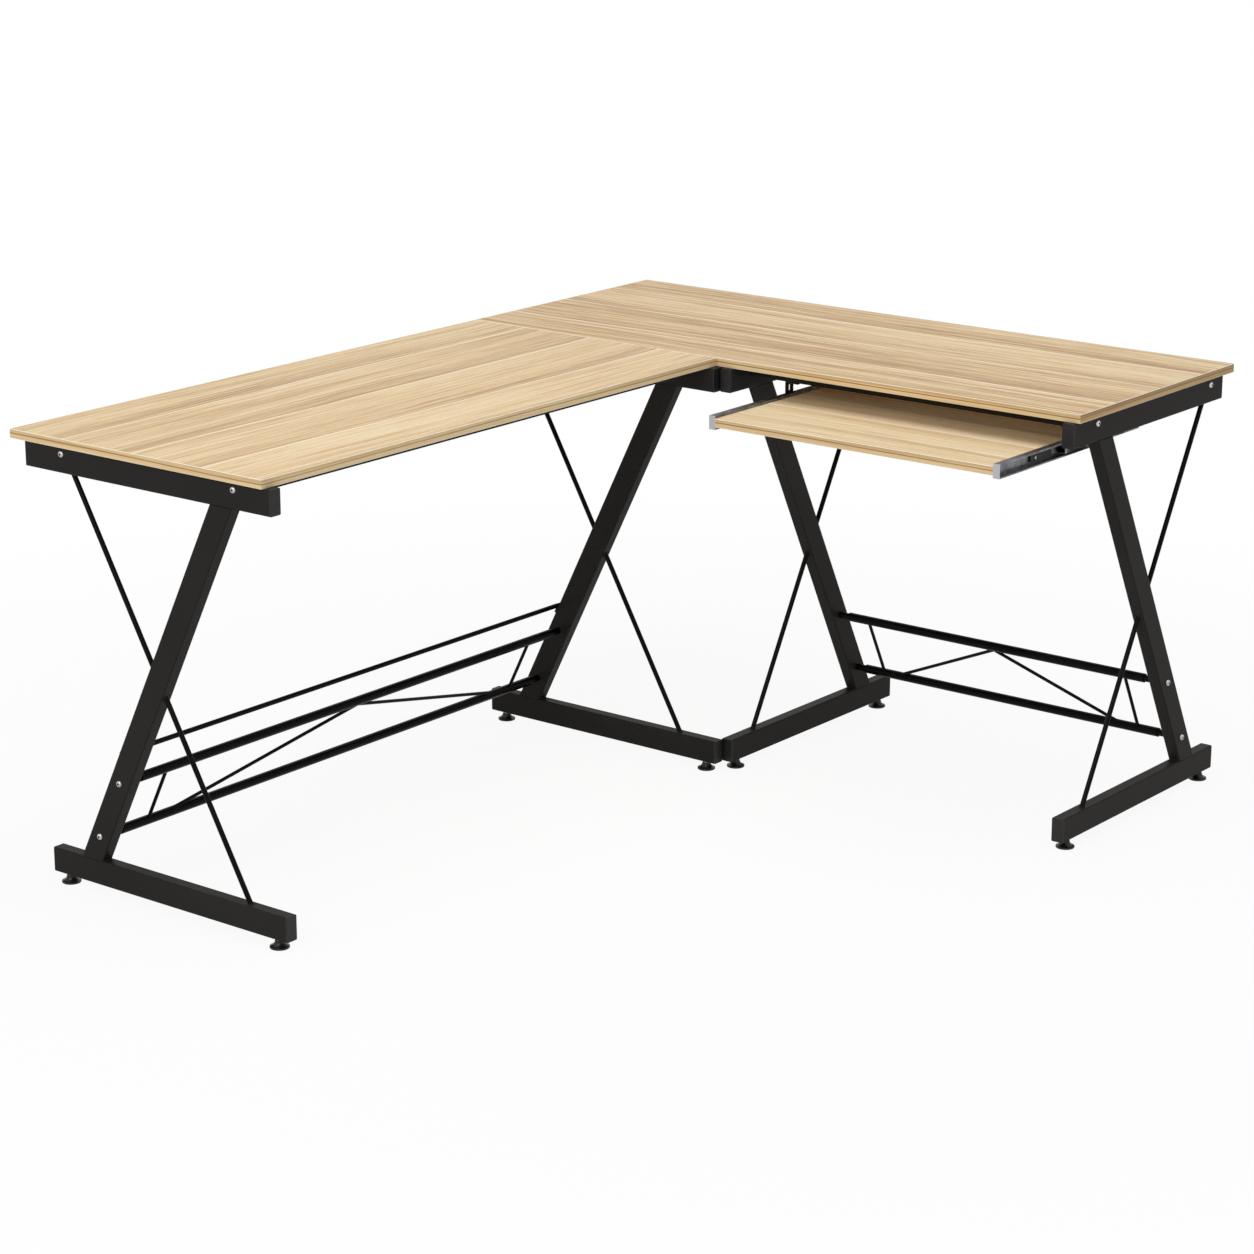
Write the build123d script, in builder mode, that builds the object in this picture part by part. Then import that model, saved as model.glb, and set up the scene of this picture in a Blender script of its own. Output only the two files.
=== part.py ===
from build123d import *
from math import hypot
from types import SimpleNamespace
import os

os.makedirs("parts", exist_ok=True)

# L-shaped corner desk: two oak-faced boards on four Z-shaped tube frames, with a keyboard tray.
# Sizes are in millimetres. The origin is on the floor under the centre of the desk's outline.
# The right wing runs along +X, the left wing runs along -Y, and both start at the back left corner.

# Table top
desk_height = 750.0
board_thickness = 15.0
right_length = 1280.0
right_depth = 510.0
left_length = 1640.0
left_depth = 550.0
seam_gap = 0.5
band_thickness = 1.0
band_rounding = 0.7

# Rails, legs and brace rods of the four frames
rail_height = 42.0
rail_width = 23.0
tube_wall = 1.5
tube_corner = 2.5
foot_height = 16.0
end_frame_inset = 5.0
inner_frame_offset = 15.0
top_rail_back_inset = 28.0
left_top_rail_overhang = 12.0
right_top_rail_overhang = 9.0
left_foot_rail_back_inset = 48.0
left_foot_rail_overhang = 20.0
right_foot_rail_back_inset = 0.5
right_foot_rail_overhang = -4.0
leg_top_setback = 93.0
leg_foot_setback = 91.0
brace_diameter = 8.5
left_brace_back_inset = 125.0
left_brace_front_setback = 67.0
right_brace_back_inset = 77.0
right_brace_front_setback = 82.0

# Plastic caps in the rail ends
cap_thickness = 2.0
cap_plug_depth = 12.0
cap_clearance = 0.2
cap_rounding = 0.8

# Levelling feet and the threaded inserts that hold them
foot_inset = 27.0
pad_diameter = 32.0
pad_edge_height = 3.5
pad_edge_rounding = 1.2
pad_collar_diameter = 15.0
pad_collar_height = 12.0
stud_diameter = 8.0
stud_clearance = 0.05
stud_hole_clearance = 0.5
insert_diameter = 14.0
insert_length = 12.0
stud_end_gap = 1.0

# Stretchers, their necked plugs, the truss rods and the thin rear rod
stretcher_diameter = 16.0
stretcher_wall = 1.2
left_upper_stretcher_height = 200.0
left_lower_stretcher_height = 100.0
right_upper_stretcher_height = 216.0
right_lower_stretcher_height = 102.0
neck_diameter = 12.0
neck_length = 22.0
plug_depth = 20.0
plug_clearance = 0.1
truss_rod_diameter = 6.0
left_truss_foot_inset = 143.0
left_truss_strut_inset = 83.0
right_truss_foot_inset = 108.0
right_truss_strut_inset = 63.0
rear_rod_diameter = 8.5
rear_rod_height = 242.0
rear_pad_thickness = 3.0
rear_pad_length = 14.0
rear_pad_width = 20.0
rear_pad_inset = 8.0
rear_weld_depth = 0.8

# Cross bars under the boards
bar_size = 22.0
bar_wall = 1.2
bar_corner = 1.5
front_bar_setback = 64.0
left_rear_bar_inset = 111.0
right_rear_bar_inset = 71.0

# Button-head bolts
bolt_diameter = 6.0
bolt_head_diameter = 11.0
bolt_head_height = 3.3
bolt_socket_size = 4.0
bolt_socket_depth = 1.8
bolt_bite = 14.0
bolt_end_gap = 2.0
bolt_hole_clearance = 0.3
thread_clearance = 0.05

# Wood screws
wood_screw_diameter = 4.0
wood_screw_head_diameter = 8.0
wood_screw_head_height = 2.4
wood_screw_bite = 10.0
wood_screw_hole_clearance = 0.25
bar_screw_count = 3
bar_screw_inset = 150.0

# Sheet steel brackets that carry the right board along the seam
bracket_thickness = 2.0
seam_bracket_count = 3
seam_bracket_length = 40.0
seam_bracket_drop = 25.0
seam_bracket_reach = 35.0
corner_bracket_gap = 1.0

# Keyboard tray and its ball slides
tray_left_gap = 73.0
tray_depth = 350.0
tray_right_gap = 15.0
slide_drop = 53.5
slide_setback = 26.0
slide_travel = 225.0
tray_opening = 196.0
slide_thickness = 13.0
slide_wall = 1.2
slide_lip = 1.2
channel_height = 24.0
channel_depth = 12.2
slide_rail_height = 14.5
slide_rail_length = 238.0
slide_rail_depth = 10.0
slide_end_gap = 1.5
cage_end_gap = 4.0
cage_thickness = 1.6
cage_width = 6.0
cage_hole_clearance = 0.2
balls_per_row = 4
ball_raceway_clearance = 0.3
stop_length = 64.0
stop_height = 11.0
stop_thickness = 3.0
stop_front_inset = 106.0
stop_rounding = 1.0
roller_diameter = 5.0
roller_thickness = 1.5
roller_front_inset = 13.5
tray_screw_diameter = 3.5
tray_screw_head_diameter = 6.5
tray_screw_head_height = 1.8
tray_screw_length = 20.0
tray_screw_front_inset = 10.0
tray_screw_rear_inset = 30.0

# Hangers of the same sheet, which carry the slides
hanger_width = 22.0
hanger_flange = 26.0
hanger_tail = 5.5
rear_hanger_inset = 64.0
hanger_slot_length = 12.0
hanger_slot_width = 5.0
hanger_slot_drop = 11.5
hanger_screw_spacing = 10.0
rivet_diameter = 4.0
rivet_head_diameter = 7.0
rivet_head_height = 1.4

# Levels and edges that follow from those sizes
x_left = -right_length / 2
x_right = right_length / 2
x_front = x_left + left_depth
y_back = left_length / 2
y_end = -left_length / 2
y_front = y_back - right_depth
y_seam = y_front - seam_gap
underside = desk_height - board_thickness
top_rail_bottom = underside - rail_height
foot_rail_top = foot_height + rail_height
bar_bottom = underside - bar_size
bar_level = underside - bar_size / 2
bracket_bottom = underside - bracket_thickness


def left_plane(y):
    """Plane of a left wing frame: X from the back edge, Y up, Z into the frame's thickness."""
    return Plane(origin=(x_left, y, 0), x_dir=(1, 0, 0), z_dir=(0, -1, 0))


def right_plane(x):
    """The same plane for a right wing frame."""
    return Plane(origin=(x, y_back, 0), x_dir=(0, -1, 0), z_dir=(-1, 0, 0))


# In each wing the first frame faces its mate with its front face, the second with its rear face.
left_wing = SimpleNamespace(
    name="left",
    depth=left_depth,
    first=left_plane(y_end + end_frame_inset + rail_width),
    second=left_plane(y_seam),
    frame_names=("left_end", "left_inner"),
    top_rail=(top_rail_back_inset, left_depth + left_top_rail_overhang),
    foot_rail=(left_foot_rail_back_inset, left_depth + left_foot_rail_overhang),
    brace=(left_brace_back_inset, left_depth - left_brace_front_setback),
    stretchers=(left_upper_stretcher_height, left_lower_stretcher_height),
    truss_insets=(left_truss_foot_inset, left_truss_strut_inset),
    bars=(left_rear_bar_inset, left_depth - front_bar_setback),
)
right_wing = SimpleNamespace(
    name="right",
    depth=right_depth,
    first=right_plane(x_front + inner_frame_offset + rail_width),
    second=right_plane(x_right - end_frame_inset),
    frame_names=("right_inner", "right_end"),
    top_rail=(top_rail_back_inset, right_depth + right_top_rail_overhang),
    foot_rail=(right_foot_rail_back_inset, right_depth + right_foot_rail_overhang),
    brace=(right_brace_back_inset, right_depth - right_brace_front_setback),
    stretchers=(right_upper_stretcher_height, right_lower_stretcher_height),
    truss_insets=(right_truss_foot_inset, right_truss_strut_inset),
    bars=(right_rear_bar_inset, right_depth - front_bar_setback),
)
wings = (left_wing, right_wing)

for wing in wings:
    # The leg's centre line leans forward from the foot rail to the top rail.
    wing.leg_foot = wing.foot_rail[0] + leg_foot_setback
    wing.lean = (wing.depth - leg_top_setback - wing.leg_foot) / (top_rail_bottom - foot_rail_top)
    wing.slant = hypot(1, wing.lean)
    wing.frames = (wing.first, wing.second)
    # Clear distance between the wing's two frames, and the direction that it runs in
    wing.along = -wing.first.z_dir
    wing.span = (wing.second.origin - wing.first.origin).dot(wing.along) - rail_width


def leg_centre(wing, height):
    """Distance from the wing's back edge to the leg's centre line at a height."""
    return wing.leg_foot + wing.lean * (height - foot_rail_top)


def span_plane(wing, across, height, start=0.0):
    """Plane square to the wing's length, a distance past the inner face of its first frame."""
    origin = wing.first.from_local_coords((across, height, 0)) + wing.along * start
    return Plane(origin=origin, x_dir=wing.first.x_dir, z_dir=wing.along)


def end_plane(wing, index, across, height):
    """Plane on the inner face of one frame, looking into the space between the two frames."""
    frame = wing.frames[index]
    depth = (0.0, rail_width)[index]
    direction = (-frame.z_dir, frame.z_dir)[index]
    return Plane(origin=frame.from_local_coords((across, height, depth)), x_dir=frame.x_dir, z_dir=direction)


def outer_plane(wing, index, across, height):
    """Plane on the outer face of one frame, looking away from the other frame."""
    frame = wing.frames[index]
    depth = (rail_width, 0.0)[index]
    direction = (frame.z_dir, -frame.z_dir)[index]
    return Plane(origin=frame.from_local_coords((across, height, depth)), x_dir=frame.x_dir, z_dir=direction)


def spread(start, end, count):
    """Evenly spaced places between two ends, half a pitch in from each."""
    pitch = (end - start) / count
    return [start + pitch * (i + 0.5) for i in range(count)]


def save(piece, label):
    """Name a finished piece and write it out."""
    piece.part.label = label
    export_step(piece.part, f"parts/{label}.step")


# Places along each wing where its cross bars are screwed to the board
for wing in wings:
    screw_pitch = (wing.span - 2 * bar_screw_inset) / (bar_screw_count - 1)
    wing.screw_steps = [bar_screw_inset + screw_pitch * i for i in range(bar_screw_count)]
    wing.screw_points = [
        span_plane(wing, across, bar_bottom, step).origin for across in wing.bars for step in wing.screw_steps
    ]

# Places of the seam brackets along the inner left frame: between its two cross bar bolts, and in the corner
seam_bracket_places = spread(
    x_left + left_wing.bars[0], x_left + left_wing.bars[1], seam_bracket_count
)
seam_bracket_places.append(
    x_front + inner_frame_offset - corner_bracket_gap - seam_bracket_length / 2
)
seam_screw_points = [
    Vector(x, y_seam + seam_bracket_reach / 2, bracket_bottom) for x in seam_bracket_places
]

# Places of the tray, its slides and their hangers
slide_level = underside - slide_drop
tray_width = right_wing.span - tray_left_gap - tray_right_gap - 2 * slide_thickness
tray_right = x_right - end_frame_inset - rail_width - tray_right_gap - slide_thickness
tray_left = tray_right - tray_width
tray_front = y_front + slide_setback - tray_opening
tray_rear = tray_front + tray_depth
slide_rail_front = y_front + slide_setback + slide_wall + slide_end_gap
slide_rail_rear = slide_rail_front + slide_rail_length
# The front hangers hang from the cross bar, the rear ones from the board.
hanger_places = (
    (y_back - right_wing.bars[1], bar_bottom),
    (slide_rail_rear - rear_hanger_inset, underside),
)
slide_sides = (
    SimpleNamespace(name="left", edge=tray_left, outward=-1),
    SimpleNamespace(name="right", edge=tray_right, outward=1),
)
hanger_screw_points = [
    Vector(
        side.edge + side.outward * (slide_thickness + bracket_thickness - hanger_flange / 2) + offset,
        y,
        top - bracket_thickness,
    )
    for y, top in hanger_places
    for side in slide_sides
    for offset in (-hanger_screw_spacing / 2, hanger_screw_spacing / 2)
]
bar_hanger_screw_points = hanger_screw_points[: len(hanger_screw_points) // 2]
board_hanger_screw_points = hanger_screw_points[len(hanger_screw_points) // 2 :]

pilot_radius = wood_screw_diameter / 2 + thread_clearance
screw_hole_radius = wood_screw_diameter / 2 + wood_screw_hole_clearance
bolt_hole_radius = bolt_diameter / 2 + bolt_hole_clearance
bolt_bore_radius = bolt_diameter / 2 + thread_clearance


# Table top boards and the band glued round their edges
def make_board(label, x_range, y_range, screw_points):
    length = x_range[1] - x_range[0]
    depth = y_range[1] - y_range[0]
    middle = (sum(x_range) / 2, sum(y_range) / 2)
    with BuildPart() as board:
        with BuildSketch(Plane.XY.offset(underside)):
            with Locations(middle):
                Rectangle(length - 2 * band_thickness, depth - 2 * band_thickness)
        extrude(amount=board_thickness)
        with BuildSketch(Plane.XY.offset(underside)):
            with Locations(*[(point.X, point.Y) for point in screw_points]):
                Circle(pilot_radius)
        extrude(amount=wood_screw_bite + thread_clearance, mode=Mode.SUBTRACT)
    save(board, f"{label}_top_board")
    with BuildPart() as band:
        with BuildSketch(Plane.XY.offset(underside)):
            with Locations(middle):
                Rectangle(length, depth)
                Rectangle(length - 2 * band_thickness, depth - 2 * band_thickness, mode=Mode.SUBTRACT)
        extrude(amount=board_thickness)
        top_face = band.faces().sort_by(Axis.Z)[-1]
        bottom_face = band.faces().sort_by(Axis.Z)[0]
        fillet(top_face.outer_wire().edges() + bottom_face.outer_wire().edges(), band_rounding)
    save(band, f"{label}_top_edge_band")


make_board(
    "right",
    (x_left, x_right),
    (y_front, y_back),
    right_wing.screw_points + seam_screw_points + board_hanger_screw_points,
)
make_board("left", (x_left, x_front), (y_end, y_seam), left_wing.screw_points)


# Rails of the four frames: closed tube along the wing's depth, shortened for its two caps
def make_rail(label, frame, ends, level, bolt_places, foot_places):
    start = ends[0] + cap_thickness
    length = ends[1] - ends[0] - 2 * cap_thickness
    section = Plane(
        origin=frame.from_local_coords((start, level, rail_width / 2)), x_dir=frame.z_dir, z_dir=frame.x_dir
    )
    with BuildPart() as rail:
        with BuildSketch(section):
            RectangleRounded(rail_width, rail_height, tube_corner)
            RectangleRounded(
                rail_width - 2 * tube_wall,
                rail_height - 2 * tube_wall,
                tube_corner - tube_wall,
                mode=Mode.SUBTRACT,
            )
        extrude(amount=length)
        if bolt_places:
            with BuildSketch(frame):
                with Locations(*bolt_places):
                    Circle(bolt_hole_radius)
            extrude(amount=rail_width, mode=Mode.SUBTRACT)
        if foot_places:
            with BuildSketch(Plane.XY.offset(foot_height)):
                with Locations(*[(point.X, point.Y) for point in foot_places]):
                    Circle(stud_diameter / 2 + stud_hole_clearance)
            extrude(amount=tube_wall, mode=Mode.SUBTRACT)
    save(rail, label)


# Leaning legs: the tube is cut level at both ends, where it is welded to the rails
def make_leg(label, frame, wing):
    foot_end = Plane(
        origin=frame.from_local_coords((wing.leg_foot, foot_rail_top, rail_width / 2)),
        x_dir=frame.x_dir,
        z_dir=(0, 0, 1),
    )
    direction = (frame.x_dir * wing.lean + Vector(0, 0, 1)).normalized()
    length = (top_rail_bottom - foot_rail_top) * wing.slant
    with BuildPart() as leg:
        with BuildSketch(foot_end):
            RectangleRounded(rail_height * wing.slant, rail_width, tube_corner)
            RectangleRounded(
                (rail_height - 2 * tube_wall) * wing.slant,
                rail_width - 2 * tube_wall,
                tube_corner - tube_wall,
                mode=Mode.SUBTRACT,
            )
        extrude(amount=length, dir=direction)
        with BuildSketch(frame):
            with Locations(*[(leg_centre(wing, height), height) for height in wing.stretchers]):
                Circle(bolt_hole_radius)
        extrude(amount=rail_width, mode=Mode.SUBTRACT)
    save(leg, label)


# Brace rods: one straight diagonal from rail to rail, with the leg's width left out of its middle
def make_braces(label, frame, wing):
    upper = frame.from_local_coords((wing.brace[0], top_rail_bottom, rail_width / 2))
    lower = frame.from_local_coords((wing.brace[1], foot_rail_top, rail_width / 2))
    middle = (upper + lower) / 2
    run = upper - lower
    half_leg = rail_height * wing.slant / 2
    leg_top = leg_centre(wing, top_rail_bottom)
    with BuildPart() as braces:
        with BuildSketch(Plane(origin=middle, z_dir=run.normalized())):
            Circle(brace_diameter / 2)
        extrude(amount=run.length / 2 + brace_diameter, both=True)
        split(bisect_by=Plane.XY.offset(top_rail_bottom), keep=Keep.BOTTOM)
        split(bisect_by=Plane.XY.offset(foot_rail_top), keep=Keep.TOP)
        with BuildSketch(frame):
            with BuildLine():
                Polyline(
                    (wing.leg_foot - half_leg, foot_rail_top),
                    (wing.leg_foot + half_leg, foot_rail_top),
                    (leg_top + half_leg, top_rail_bottom),
                    (leg_top - half_leg, top_rail_bottom),
                    close=True,
                )
            make_face()
        extrude(amount=rail_width, mode=Mode.SUBTRACT)
    save(braces, label)


foot_centres = {}
cap_planes = []
for wing in wings:
    foot_levels = (wing.foot_rail[0] + foot_inset, wing.foot_rail[1] - foot_inset)
    for frame, name in zip(wing.frames, wing.frame_names):
        feet = [frame.from_local_coords((across, 0, rail_width / 2)) for across in foot_levels]
        foot_centres[f"{name}_rear_foot"] = feet[0]
        foot_centres[f"{name}_front_foot"] = feet[1]
        bar_bolts = [(across, bar_level) for across in wing.bars]
        top_level = underside - rail_height / 2
        foot_level = foot_height + rail_height / 2
        make_rail(f"{name}_top_rail", frame, wing.top_rail, top_level, bar_bolts, [])
        make_rail(f"{name}_foot_rail", frame, wing.foot_rail, foot_level, [], feet)
        make_leg(f"{name}_leg", frame, wing)
        make_braces(f"{name}_brace_rods", frame, wing)
        for ends, level in ((wing.top_rail, top_level), (wing.foot_rail, foot_level)):
            rear = frame.from_local_coords((ends[0] + cap_thickness, level, rail_width / 2))
            front = frame.from_local_coords((ends[1] - cap_thickness, level, rail_width / 2))
            cap_planes.append(Plane(origin=rear, x_dir=frame.z_dir, z_dir=-frame.x_dir))
            cap_planes.append(Plane(origin=front, x_dir=frame.z_dir, z_dir=frame.x_dir))

# Rail cap: a plate that covers the tube's end and a plug that grips inside it
with BuildPart() as rail_cap:
    with BuildSketch():
        RectangleRounded(rail_width, rail_height, tube_corner)
    extrude(amount=cap_thickness)
    fillet(rail_cap.faces().sort_by(Axis.Z)[-1].edges(), cap_rounding)
    with BuildSketch():
        RectangleRounded(
            rail_width - 2 * tube_wall - 2 * cap_clearance,
            rail_height - 2 * tube_wall - 2 * cap_clearance,
            tube_corner - tube_wall,
        )
    extrude(amount=-cap_plug_depth)
with BuildPart() as rail_caps:
    with Locations(*cap_planes):
        add(rail_cap.part)
save(rail_caps, "rail_caps")

# Levelling feet: a moulded pad on a steel stud that screws into the foot rail
insert_bottom = foot_height + tube_wall
stud_top = insert_bottom + insert_length + stud_end_gap
for name, centre in foot_centres.items():
    with BuildPart() as foot:
        with BuildSketch(Plane(origin=centre, x_dir=(1, 0, 0), z_dir=(0, -1, 0))) as profile:
            with BuildLine():
                rim = Line((0, 0), (pad_diameter / 2, 0))
                edge = Line(rim @ 1, (pad_diameter / 2, pad_edge_height))
                collar_foot = (pad_collar_diameter / 2, pad_collar_height)
                TangentArc(edge @ 1, collar_foot, tangent=(-1, 0.12))
                shoulder = Line(collar_foot, (stud_diameter / 2, pad_collar_height))
                stud = Line(shoulder @ 1, (stud_diameter / 2, stud_top))
                end = Line(stud @ 1, (0, stud_top))
                Line(end @ 1, (0, 0))
            make_face()
            fillet(profile.vertices().group_by(Axis.X)[-1], pad_edge_rounding)
        revolve(axis=Axis(centre, (0, 0, 1)))
    save(foot, name)

# Threaded inserts welded inside the foot rails
with BuildPart() as foot_insert:
    with BuildSketch():
        Circle(insert_diameter / 2)
        Circle(stud_diameter / 2 + stud_clearance, mode=Mode.SUBTRACT)
    extrude(amount=insert_length)
with BuildPart() as foot_inserts:
    with Locations(*[(point.X, point.Y, insert_bottom) for point in foot_centres.values()]):
        add(foot_insert.part)
save(foot_inserts, "foot_inserts")

# Round stretchers between the legs
for wing in wings:
    for height, place in zip(wing.stretchers, ("upper", "lower")):
        with BuildPart() as stretcher:
            with BuildSketch(span_plane(wing, leg_centre(wing, height), height, neck_length)):
                Circle(stretcher_diameter / 2)
                Circle(stretcher_diameter / 2 - stretcher_wall, mode=Mode.SUBTRACT)
            extrude(amount=wing.span - 2 * neck_length)
        save(stretcher, f"{wing.name}_{place}_stretcher")

# Necked plugs pressed into the stretcher ends, threaded for the leg bolts
with BuildPart() as stretcher_plug:
    with BuildSketch():
        Circle(neck_diameter / 2)
    extrude(amount=neck_length)
    with BuildSketch(Plane.XY.offset(neck_length)):
        Circle(stretcher_diameter / 2 - stretcher_wall - plug_clearance)
    extrude(amount=plug_depth)
    with BuildSketch():
        Circle(bolt_bore_radius)
    extrude(amount=bolt_bite + bolt_end_gap, mode=Mode.SUBTRACT)
with BuildPart() as stretcher_plugs:
    with Locations(
        *[
            end_plane(wing, index, leg_centre(wing, height), height)
            for wing in wings
            for index in (0, 1)
            for height in wing.stretchers
        ]
    ):
        add(stretcher_plug.part)
save(stretcher_plugs, "stretcher_plugs")

# Truss rods between the two stretchers of a wing: a wide V and an upright strut near each leg
for wing in wings:
    upper_height, lower_height = wing.stretchers
    upper_axis = span_plane(wing, leg_centre(wing, upper_height), upper_height)
    lower_axis = span_plane(wing, leg_centre(wing, lower_height), lower_height)
    rise = (upper_axis.origin - lower_axis.origin).normalized() * (stretcher_diameter / 2)
    foot_inset_along, strut_inset = wing.truss_insets
    middle = wing.span / 2
    rod_ends = (
        (foot_inset_along, middle),
        (wing.span - foot_inset_along, middle),
        (strut_inset, strut_inset),
        (wing.span - strut_inset, wing.span - strut_inset),
    )
    with BuildPart() as truss:
        for foot_step, top_step in rod_ends:
            rod_foot = lower_axis.origin + rise + wing.along * foot_step
            rod_top = upper_axis.origin - rise + wing.along * top_step
            run = rod_top - rod_foot
            with BuildSketch(Plane(origin=(rod_foot + rod_top) / 2, z_dir=run.normalized())):
                Circle(truss_rod_diameter / 2)
            extrude(amount=run.length / 2 + stretcher_diameter / 2, both=True)
        for axis in (upper_axis, lower_axis):
            with BuildSketch(axis):
                Circle(stretcher_diameter / 2)
            extrude(amount=wing.span, mode=Mode.SUBTRACT)
        # The two rods of the V are welded end to end at its top.
        split(bisect_by=upper_axis.offset(middle), keep=Keep.BOTH)
    save(truss, f"{wing.name}_truss_rods")

# Thin rod behind the left legs, with a flat pad welded to the rear face of each leg
rear_face = leg_centre(left_wing, rear_rod_height) - rail_height * left_wing.slant / 2
rear_normal = (Vector(0, 0, left_wing.lean) - left_wing.first.x_dir).normalized()
rear_rod_offset = rear_pad_thickness + rear_rod_diameter / 2 - rear_weld_depth
with BuildPart() as rear_rod:
    for index in range(2):
        inner = end_plane(left_wing, index, rear_face, rear_rod_height)
        pad_origin = inner.origin - inner.z_dir * rear_pad_inset
        with BuildSketch(Plane(origin=pad_origin, x_dir=inner.z_dir, z_dir=rear_normal)):
            Rectangle(rear_pad_length, rear_pad_width)
        extrude(amount=rear_pad_thickness)
    # The rod ends on the middle of each pad.
    rod_start = span_plane(left_wing, rear_face, rear_rod_height, -rear_pad_inset).origin
    with BuildSketch(Plane(origin=rod_start + rear_normal * rear_rod_offset, z_dir=left_wing.along)):
        Circle(rear_rod_diameter / 2)
    extrude(amount=left_wing.span + 2 * rear_pad_inset)
save(rear_rod, "left_rear_rod")

# Square cross bars under the boards, bolted between the top rails and screwed up into the board
for wing in wings:
    for across, place in zip(wing.bars, ("rear", "front")):
        with BuildPart() as bar:
            with BuildSketch(span_plane(wing, across, bar_level)):
                RectangleRounded(bar_size, bar_size, bar_corner)
                Rectangle(bar_size - 2 * bar_wall, bar_size - 2 * bar_wall, mode=Mode.SUBTRACT)
            extrude(amount=wing.span)
            bar_screws_here = [span_plane(wing, across, bar_bottom, step).origin for step in wing.screw_steps]
            with BuildSketch(Plane.XY.offset(bar_bottom)):
                with Locations(*[(point.X, point.Y) for point in bar_screws_here]):
                    Circle(screw_hole_radius)
            extrude(amount=bar_size, mode=Mode.SUBTRACT)
            if (wing, place) == (right_wing, "front"):
                with BuildSketch(Plane.XY.offset(bar_bottom)):
                    with Locations(*[(point.X, point.Y) for point in bar_hanger_screw_points]):
                        Circle(pilot_radius)
                extrude(amount=bar_wall, mode=Mode.SUBTRACT)
        save(bar, f"{wing.name}_{place}_crossbar")

# Threaded plugs inside the cross bar ends
bar_plug_size = bar_size - 2 * bar_wall - 2 * plug_clearance
with BuildPart() as bar_plug:
    with BuildSketch():
        Rectangle(bar_plug_size, bar_plug_size)
        Circle(bolt_bore_radius, mode=Mode.SUBTRACT)
    extrude(amount=bolt_bite + bolt_end_gap)
bar_end_planes = [
    end_plane(wing, index, across, bar_level) for wing in wings for index in (0, 1) for across in wing.bars
]
with BuildPart() as bar_plugs:
    with Locations(*bar_end_planes):
        add(bar_plug.part)
save(bar_plugs, "bar_plugs")

# Button-head bolts through the rails and legs, heads on the outer faces of the frames
with BuildPart() as frame_bolt:
    with BuildSketch(Plane.XZ):
        with BuildLine():
            seat = Line((0, 0), (bolt_head_diameter / 2, 0))
            crown = (bolt_socket_size / 2, bolt_head_height)
            TangentArc(seat @ 1, crown, tangent=(0, 1))
            crown_flat = Line(crown, (0, bolt_head_height))
            Line(crown_flat @ 1, (0, 0))
        make_face()
    revolve(axis=Axis.Z)
    with BuildSketch():
        Circle(bolt_diameter / 2)
    extrude(amount=-(rail_width + bolt_bite))
    with BuildSketch(Plane.XY.offset(bolt_head_height - bolt_socket_depth)):
        RegularPolygon(bolt_socket_size / 2, 6, major_radius=False)
    extrude(amount=bolt_socket_depth, mode=Mode.SUBTRACT)
bolt_planes = []
for wing in wings:
    for index in (0, 1):
        bolt_planes += [outer_plane(wing, index, across, bar_level) for across in wing.bars]
        bolt_planes += [
            outer_plane(wing, index, leg_centre(wing, height), height) for height in wing.stretchers
        ]
with BuildPart() as frame_bolts:
    with Locations(*bolt_planes):
        add(frame_bolt.part)
save(frame_bolts, "frame_bolts")

# Angle brackets welded to the inner left frame, under the right board
with BuildPart() as seam_brackets:
    for x in seam_bracket_places:
        with BuildSketch(Plane(origin=(x, y_seam, underside), x_dir=(0, 1, 0), z_dir=(1, 0, 0))):
            with BuildLine():
                Polyline(
                    (0, 0),
                    (seam_bracket_reach, 0),
                    (seam_bracket_reach, -bracket_thickness),
                    (bracket_thickness, -bracket_thickness),
                    (bracket_thickness, -seam_bracket_drop),
                    (0, -seam_bracket_drop),
                    close=True,
                )
            make_face()
        extrude(amount=seam_bracket_length / 2, both=True)
    with BuildSketch(Plane.XY.offset(bracket_bottom)):
        with Locations(*[(point.X, point.Y) for point in seam_screw_points]):
            Circle(screw_hole_radius)
    extrude(amount=bracket_thickness, mode=Mode.SUBTRACT)
save(seam_brackets, "seam_brackets")


# Wood screws: a domed head under the metal and a shank up into the board
def make_wood_screws(label, grip, points):
    with BuildPart() as screw:
        with BuildSketch():
            Circle(wood_screw_head_diameter / 2)
        extrude(amount=-wood_screw_head_height)
        fillet(screw.faces().sort_by(Axis.Z)[0].edges(), wood_screw_head_height / 2)
        with BuildSketch():
            Circle(wood_screw_diameter / 2)
        extrude(amount=grip + wood_screw_bite)
    with BuildPart() as screws:
        with Locations(*points):
            add(screw.part)
    save(screws, label)


make_wood_screws("crossbar_screws", bar_size, left_wing.screw_points + right_wing.screw_points)
make_wood_screws("bracket_screws", bracket_thickness, seam_screw_points + hanger_screw_points)

# Keyboard tray board and its edge band, drilled at both ends for the slide screws
tray_middle = ((tray_left + tray_right) / 2, (tray_front + tray_rear) / 2)
tray_bottom = slide_level - board_thickness / 2
tray_screw_places = (
    tray_front + slide_wall + tray_screw_front_inset,
    (tray_front + stop_front_inset + stop_length + tray_rear - tray_screw_rear_inset) / 2,
    tray_rear - tray_screw_rear_inset,
)


def slide_plane(side, y):
    """Plane square to a slide: X outward from the tray's end, Y level, Z towards the front."""
    return Plane(origin=(side.edge, y, slide_level), x_dir=(side.outward, 0, 0), z_dir=(0, -1, 0))


def outward_plane(side, distance, y, height=slide_level):
    """Plane facing outward from a tray end, at a distance from it."""
    origin = (side.edge + side.outward * distance, y, height)
    return Plane(origin=origin, x_dir=(0, 1, 0), z_dir=(side.outward, 0, 0))


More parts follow.
